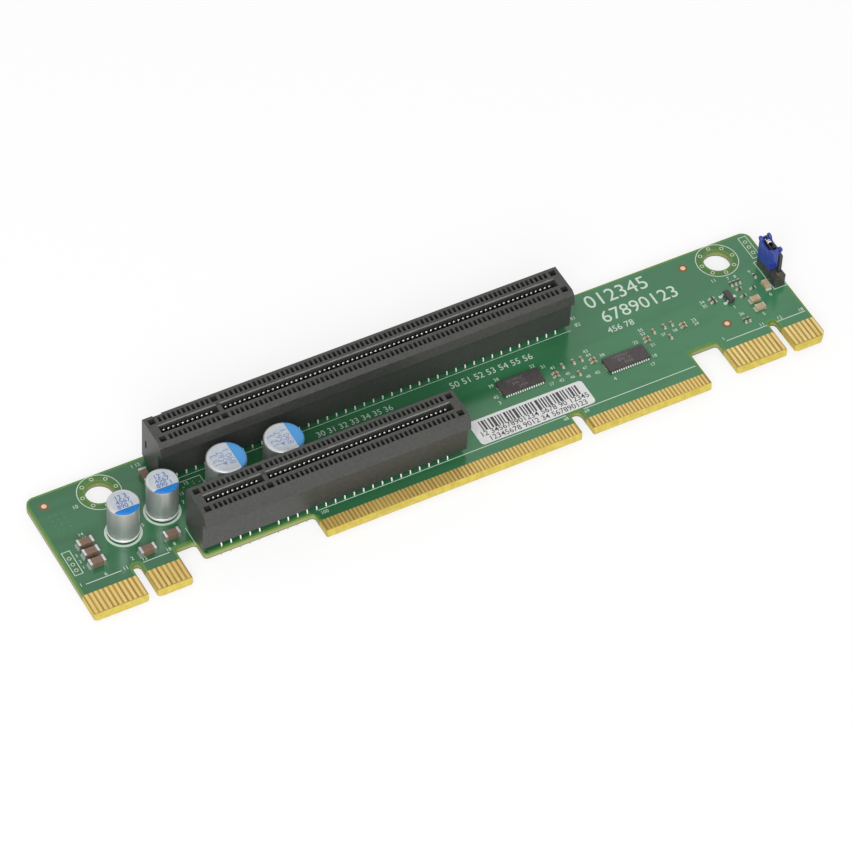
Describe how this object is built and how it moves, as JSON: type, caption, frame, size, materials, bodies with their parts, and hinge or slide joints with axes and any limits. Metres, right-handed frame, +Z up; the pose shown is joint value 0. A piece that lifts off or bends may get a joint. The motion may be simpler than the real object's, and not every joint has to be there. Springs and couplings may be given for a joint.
{
  "type": "pcie riser card",
  "caption": "Long low server riser card: green circuit board with two black upright card sockets, gold edge fingers in three groups, can capacitors, chips and a pin header with a jumper.",
  "frame": {"origin": "middle of the board's outline, at the height of the surface the card rests on, which is the bottom of the four socket pegs", "axes": "+X along the board towards the pin header, +Y towards the plain rear edge, +Z up out of the face that carries the sockets"},
  "size_m": [0.1582, 0.0324, 0.0141],
  "materials": {
    "solder_mask": "glossy green solder mask over glass-fibre board",
    "gold_plating": "bright hard gold plating on copper",
    "socket_plastic": "black moulded plastic, satin",
    "contact_metal": "bright tin plating",
    "solder": "bright solder",
    "can_metal": "satin aluminium can",
    "brown_ceramic": "satin brown ceramic",
    "tan_ceramic": "satin tan ceramic",
    "tinned_end": "tinned",
    "chip_plastic": "black moulding compound",
    "pin_metal": "gold-flashed pin",
    "jumper_plastic": "blue moulded plastic",
    "label_paper": "white paper label"
  },
  "bodies": {
    "root": {"circuit_board": "solder_mask", "edge_fingers_left": "gold_plating", "edge_fingers_centre": "gold_plating", "edge_fingers_right": "gold_plating", "long_socket_housing": "socket_plastic", "long_socket_contacts_front": "contact_metal", "long_socket_contacts_rear": "contact_metal", "long_socket_solder_joints": "solder", "short_socket_housing": "socket_plastic", "short_socket_contacts_front": "contact_metal", "short_socket_contacts_rear": "contact_metal", "short_socket_solder_joints": "solder", "can_capacitor_1": "can_metal", "can_capacitor_2": "can_metal", "can_capacitor_3": "can_metal", "can_capacitor_4": "can_metal", "can_capacitor_joints": "solder", "brown_capacitor_bodies": "brown_ceramic", "brown_capacitor_ends": "tinned_end", "tan_capacitor_bodies": "tan_ceramic", "tan_capacitor_ends": "tinned_end", "tiny_capacitors": "tan_ceramic", "tiny_resistors": "chip_plastic", "signal_chip_1": "chip_plastic", "signal_chip_2": "chip_plastic", "transistor_body": "chip_plastic", "transistor_leads": "contact_metal", "header_base": "socket_plastic", "header_pins": "pin_metal", "jumper_cap": "jumper_plastic", "jumper_clip": "contact_metal", "label_sticker": "label_paper"}
  },
  "joints": []
}
